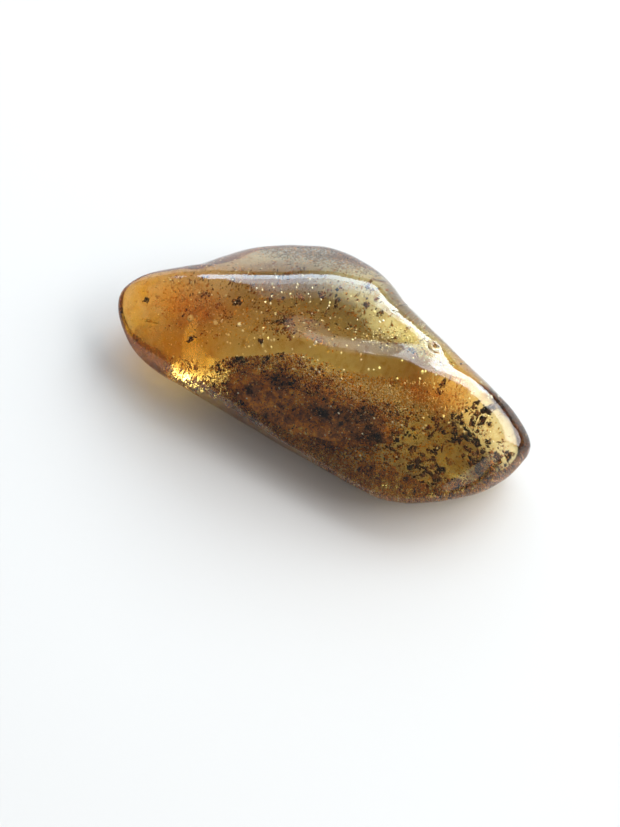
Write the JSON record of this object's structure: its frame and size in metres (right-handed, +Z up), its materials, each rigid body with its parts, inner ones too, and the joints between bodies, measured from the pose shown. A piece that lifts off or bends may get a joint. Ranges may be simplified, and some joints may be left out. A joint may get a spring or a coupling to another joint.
{
  "type": "polished amber pebble",
  "caption": "Tumbled clear amber pebble, long and low with two rounded ridges, enclosing dark plant debris.",
  "frame": {"origin": "middle of the pebble's box, on the surface it rests on", "axes": "+X along the length towards the broad low end, +Y towards the taller rear ridge, +Z up from the resting flat"},
  "size_m": [0.0312, 0.017, 0.0075],
  "materials": {
    "amber": "polished clear amber",
    "crumbled_bark": "crumbly matt",
    "rusty_dust": "fine matt dust",
    "bark_flake": "rough matt"
  },
  "bodies": {
    "root": {"amber_upper": "amber", "amber_lower": "amber", "debris_cloud": "crumbled_bark", "dust_left_end": "rusty_dust", "dust_rear": "rusty_dust", "dust_between_ridges": "rusty_dust", "dust_rear_right": "rusty_dust", "flake_left_tip": "bark_flake", "flake_left_long": "bark_flake", "flake_rear_left": "bark_flake", "flake_rear_middle": "bark_flake", "flake_rear_ridge": "bark_flake", "flake_rear_small": "bark_flake", "flake_valley": "bark_flake", "flake_valley_end": "bark_flake", "flake_right_upper": "bark_flake", "flake_right_cluster": "bark_flake", "flake_right_middle": "bark_flake", "flake_right_branched": "bark_flake", "flake_right_rim": "bark_flake", "flake_right_curled": "bark_flake", "flake_front_right": "bark_flake", "flake_front_low": "bark_flake"}
  },
  "joints": []
}
